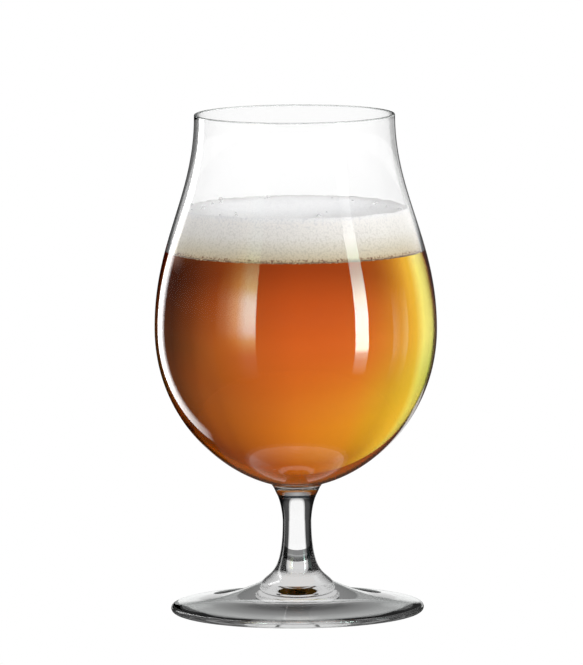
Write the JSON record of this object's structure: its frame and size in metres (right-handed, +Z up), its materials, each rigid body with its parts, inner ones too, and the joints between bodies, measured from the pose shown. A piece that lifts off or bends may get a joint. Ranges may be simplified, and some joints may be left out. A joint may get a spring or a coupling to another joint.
{
  "type": "stemmed beer glass",
  "caption": "Stemmed tulip beer glass of clear glass with a rounded bowl, drawn-in neck, waisted stem and round foot, poured with amber beer under a foam head.",
  "frame": {"origin": "centre of the ring on the underside of the foot, at table height", "axes": "+Z up along the axis of the glass, from the foot to the rim; X and Y are free, because every piece is turned about Z"},
  "size_m": [0.089, 0.089, 0.1576],
  "materials": {
    "clear_glass": "polished",
    "amber_beer": "gloss",
    "beer_foam": "matte"
  },
  "bodies": {
    "root": {"bowl": "clear_glass", "stem": "clear_glass", "foot": "clear_glass", "beer": "amber_beer", "foam_head": "beer_foam"}
  },
  "joints": []
}
